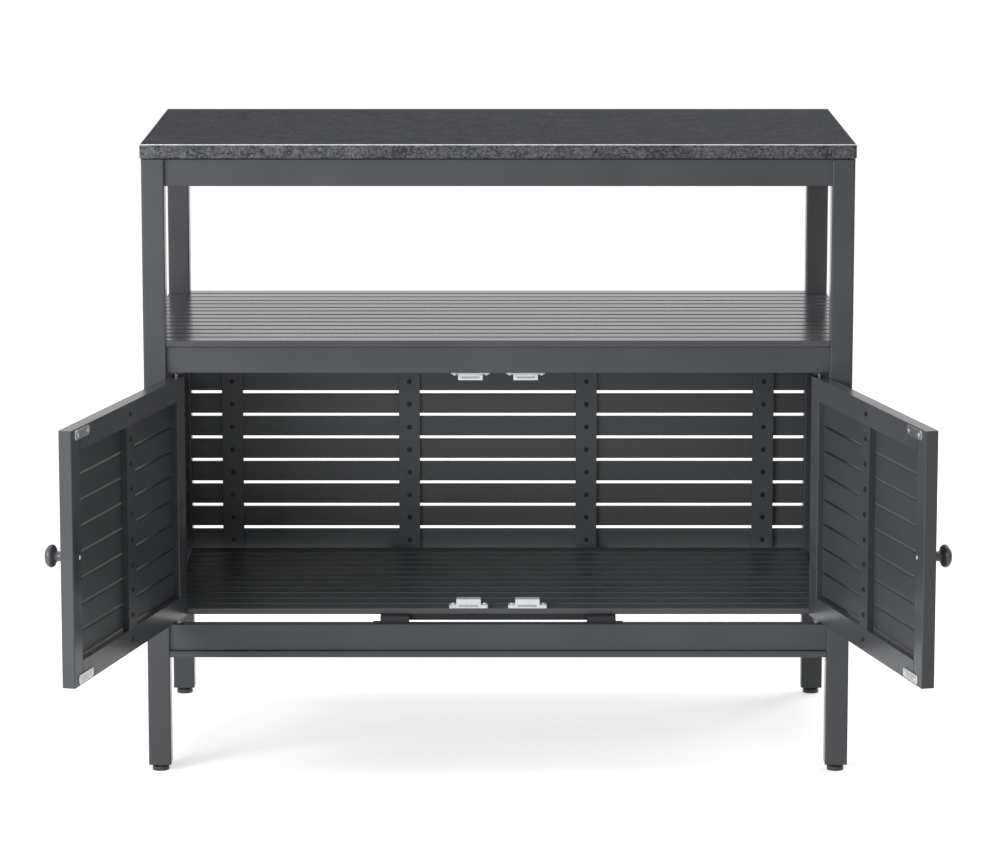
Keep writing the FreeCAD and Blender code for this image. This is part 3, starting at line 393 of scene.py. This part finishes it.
# Dark granite: a dull, cloudy near-black on top, a livelier grey with pale flecks along the polished edge, and
# a painted highlight along the upward-facing arris
granite, tree, shader, place = new_material("dark_granite")
GRAIN_MM = 2.4
PATCH_MM = 24
LEVEL_FROM = 0.9                # the rise of a face's normal from which the face is honed
ARRIS_RISE = 0.7                # the rise of the normal on the arris, give or take its spread
ARRIS_SPREAD = 0.25
FLECKS_FROM = 0.94              # the tint from which a crystal is a pale fleck
FLECK_STRENGTH = 0.35
CLOUD_STRENGTH = 0.8
SPECKLE_STRENGTH = 0.36
TONES_BETWEEN = (0.4, 0.85)
POLISHED_ROUGHNESS = 0.28
HONED_ROUGHNESS = 0.8
facing = add_node(tree, "ShaderNodeSeparateXYZ",
                  links={"Vector": add_node(tree, "ShaderNodeTexCoord").outputs["Normal"]})
level = add_node(tree, "ShaderNodeMath", links={0: facing.outputs["Z"]}, operation="ABSOLUTE")
on_top = add_node(tree, "ShaderNodeMath", {1: LEVEL_FROM}, {0: level.outputs["Value"]},
                  operation="GREATER_THAN")
# Painted highlight: a mask for the faces whose normal rises about as steeply as the upward-facing arris
arris_highlight_mask = add_node(tree, "ShaderNodeMath", {1: ARRIS_RISE, 2: ARRIS_SPREAD}, {0: facing.outputs["Z"]},
                    operation="COMPARE")
crystals = add_node(tree, "ShaderNodeTexVoronoi", {"Scale": 1000 / GRAIN_MM}, {"Vector": place})
tints = add_node(tree, "ShaderNodeSeparateColor", links={"Color": crystals.outputs["Color"]})
patches = add_node(tree, "ShaderNodeTexNoise", {"Scale": 1000 / PATCH_MM, "Detail": 6.0, "Roughness": 0.7},
                   {"Vector": place})
flecks = add_node(tree, "ShaderNodeMapRange", {"From Min": FLECKS_FROM, "To Max": FLECK_STRENGTH},
                  {"Value": tints.outputs["Green"]})
clouds = add_node(tree, "ShaderNodeMath", {1: CLOUD_STRENGTH},
                  {0: patches.outputs["Fac"], 2: flecks.outputs["Result"]}, operation="MULTIPLY_ADD")
speckle = add_node(tree, "ShaderNodeMath", {1: SPECKLE_STRENGTH},
                   {0: tints.outputs["Red"], 2: clouds.outputs["Value"]}, operation="MULTIPLY_ADD")
honed = two_tones(tree, speckle.outputs["Value"], "#2b2c2f", "#48494d", *TONES_BETWEEN)
polished = two_tones(tree, speckle.outputs["Value"], "#3a3b3f", "#727378", *TONES_BETWEEN)
# Painted highlight: near-white tones on the upward-facing arris, where the top edge catches the light
painted_arris_highlight = two_tones(tree, speckle.outputs["Value"], "#cfd0d2", "#f2f2f4", *TONES_BETWEEN)
faces = add_node(tree, "ShaderNodeMixRGB",
                 links={"Fac": on_top.outputs["Value"], "Color1": polished, "Color2": honed})
stone = add_node(tree, "ShaderNodeMixRGB",
                 links={"Fac": arris_highlight_mask.outputs["Value"], "Color1": faces.outputs["Color"], "Color2": painted_arris_highlight})
gloss = add_node(tree, "ShaderNodeMapRange", {"To Min": POLISHED_ROUGHNESS, "To Max": HONED_ROUGHNESS},
                 {"Value": on_top.outputs["Value"]})
tree.links.new(stone.outputs["Color"], shader.inputs["Base Color"])
tree.links.new(gloss.outputs["Result"], shader.inputs["Roughness"])
shader.inputs["Specular IOR Level"].default_value = 0.04
finish_with(granite, ["worktop_slab"])

# Black rubber, as moulded: dead black and dull
pad_rubber, tree, shader, place = new_material("black_rubber")
bloom = add_node(tree, "ShaderNodeTexNoise", {"Scale": 1000 / MOULD_GRAIN_MM}, {"Vector": place})
tree.links.new(two_tones(tree, bloom.outputs["Fac"], "#1a1a1a", "#262626"), shader.inputs["Base Color"])
shader.inputs["Roughness"].default_value = 0.8
finish_with(pad_rubber, ["slab_pads"])

# Stage: a wide pale studio floor that runs out to a white surround and takes the cabinet's shadow.
# It glows where it is seen, the more the further out, so it is white far off and keeps the shadow near by.
FLOOR_HALF = 30.0               # this and the next two in metres
FADE_FROM = 1.0
FADE_TO = 3.5
GLOW_NEAR = 0.64
GLOW_FAR = 0.87
floor_mesh = bpy.data.meshes.new("studio_floor")
floor_corners = [(x * FLOOR_HALF, y * FLOOR_HALF, 0) for x, y in ((-1, -1), (1, -1), (1, 1), (-1, 1))]
floor_mesh.from_pydata(floor_corners, [], [(0, 1, 2, 3)])
floor = bpy.data.objects.new("studio_floor", floor_mesh)
bpy.context.scene.collection.objects.link(floor)


def seen_by_eye(tree):
    """One for the rays that show the background: seen straight, mirrored or through glass. Else zero."""
    path = add_node(tree, "ShaderNodeLightPath")
    mirrored = add_node(tree, "ShaderNodeMath",
                        links={0: path.outputs["Is Camera Ray"], 1: path.outputs["Is Glossy Ray"]},
                        operation="MAXIMUM")
    through = add_node(tree, "ShaderNodeMath",
                       links={0: mirrored.outputs["Value"], 1: path.outputs["Is Transmission Ray"]},
                       operation="MAXIMUM")
    return through.outputs["Value"]


# Painted floor: pale and dead matt
pale_floor, tree, shader, place = new_material("pale_studio_floor")
reach = add_node(tree, "ShaderNodeVectorMath", links={0: place}, operation="LENGTH")
fade = add_node(tree, "ShaderNodeMapRange",
                {"From Min": FADE_FROM, "From Max": FADE_TO, "To Min": GLOW_NEAR, "To Max": GLOW_FAR},
                {"Value": reach.outputs["Value"]})
glow = add_node(tree, "ShaderNodeMath", links={0: seen_by_eye(tree), 1: fade.outputs["Result"]},
                operation="MULTIPLY")
tree.links.new(glow.outputs["Value"], shader.inputs["Emission Strength"])
shader.inputs["Emission Color"].default_value = linear("#ffffff")
shader.inputs["Base Color"].default_value = linear("#e6e6e6")
shader.inputs["Roughness"].default_value = 0.9
shader.inputs["Specular IOR Level"].default_value = 0.0
floor_mesh.materials.append(pale_floor)

# Light: a surround that is white to the eye but lights the cabinet only a little, and four soft lamps.
# The key and the fill stand in front on the left, a wide one hangs overhead, and one is behind on the right.
SURROUND_SEEN = 1.0
SURROUND_LIGHT = 0.17
world = bpy.data.worlds.new("white_surround")
bpy.context.scene.world = world
world.use_nodes = True
tree = world.node_tree
brightness = add_node(tree, "ShaderNodeMapRange", {"To Min": SURROUND_LIGHT, "To Max": SURROUND_SEEN},
                      {"Value": seen_by_eye(tree)})
tree.nodes["Background"].inputs["Color"].default_value = linear("#ffffff")
tree.links.new(brightness.outputs["Result"], tree.nodes["Background"].inputs["Strength"])


def soft_lamp(name, at, towards, width, power):
    """A square soft lamp that looks at a point, in metres and watts."""
    lamp = bpy.data.lights.new(name, "AREA")
    lamp.size = width
    lamp.energy = power
    stand = bpy.data.objects.new(name, lamp)
    stand.location = at
    stand.rotation_euler = (Vector(towards) - Vector(at)).to_track_quat("-Z", "Y").to_euler()
    bpy.context.scene.collection.objects.link(stand)


soft_lamp("key_lamp", at=(-2.1, -2.0, 1.35), towards=(0, 0, 0.5), width=1.2, power=52)
soft_lamp("fill_lamp", at=(-1.4, -3.0, 1.1), towards=(0.1, 0.2, 0.35), width=0.6, power=24)
soft_lamp("top_lamp", at=(0.2, 0.3, 3.2), towards=(0, 0, 0.6), width=2.4, power=46)
soft_lamp("rear_lamp", at=(2.6, 2.2, 1.5), towards=(0, 0, 0.5), width=1.6, power=45)

# Camera: in front of the cabinet and above it, with a long lens, tilted down to the photograph's framing.
# Its place, tilt and lens were fitted to where the cabinet's corners lie in the photograph.
CAMERA_PLACE = (-0.0052, -6.0, 1.5208)      # metres
TILT_DOWN = math.radians(9.263)
lens = bpy.data.cameras.new("photograph_view")
lens.sensor_width = 36
lens.lens = 149.25
lens.shift_x = 0.0056
lens.shift_y = -0.06
camera = bpy.data.objects.new("photograph_view", lens)
camera.location = CAMERA_PLACE
camera.rotation_euler = (math.pi / 2 - TILT_DOWN, 0, 0)
bpy.context.scene.collection.objects.link(camera)
bpy.context.scene.camera = camera

bpy.context.scene.view_settings.view_transform = "Standard"
